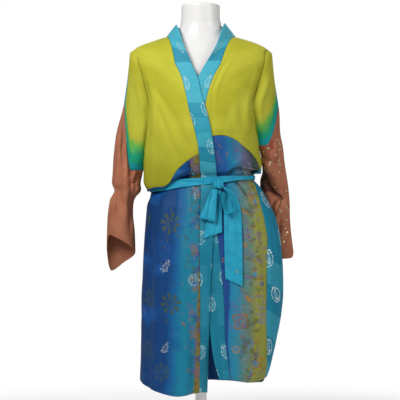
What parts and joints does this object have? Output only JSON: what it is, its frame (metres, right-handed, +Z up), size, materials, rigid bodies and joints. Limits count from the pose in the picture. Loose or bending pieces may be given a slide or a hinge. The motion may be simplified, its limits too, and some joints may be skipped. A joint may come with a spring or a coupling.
{
  "type": "kimono on dress form",
  "caption": "Knee-length patchwork wrap robe with dropped shoulders, long sleeves, front band and tie belt, worn by a limbless display form on a low round stand.",
  "frame": {"origin": "centre of the stand's underside, on the floor", "axes": "+Z up along the stand's pole, the robe faces -Y, the wearer's right is towards -X"},
  "size_m": [0.5305, 0.34, 1.216],
  "materials": {
    "form_white": "smooth glossy white",
    "lime_crepe": "soft crepe with a slight sheen",
    "printed_silk": "printed silk with a slight sheen",
    "turquoise_print": "block printed silk",
    "turquoise_plain": "plain silk with a slight sheen",
    "terracotta_silk": "matt silk"
  },
  "bodies": {
    "root": {"form_torso": "form_white", "form_base": "form_white", "form_pole": "form_white", "top_front_right": "lime_crepe", "top_front_left": "lime_crepe", "top_back": "lime_crepe", "skirt_front_right": "printed_silk", "skirt_front_left": "printed_silk", "skirt_back": "printed_silk", "side_panel_left": "turquoise_print", "sleeve_right": "terracotta_silk", "sleeve_left": "terracotta_silk", "band_right": "turquoise_print", "band_left": "turquoise_print", "belt": "turquoise_plain", "bow_knot": "turquoise_plain", "bow_loop_right": "turquoise_plain", "bow_loop_left": "turquoise_plain", "bow_tail_short": "turquoise_plain", "bow_tail_long": "turquoise_plain"}
  },
  "joints": []
}
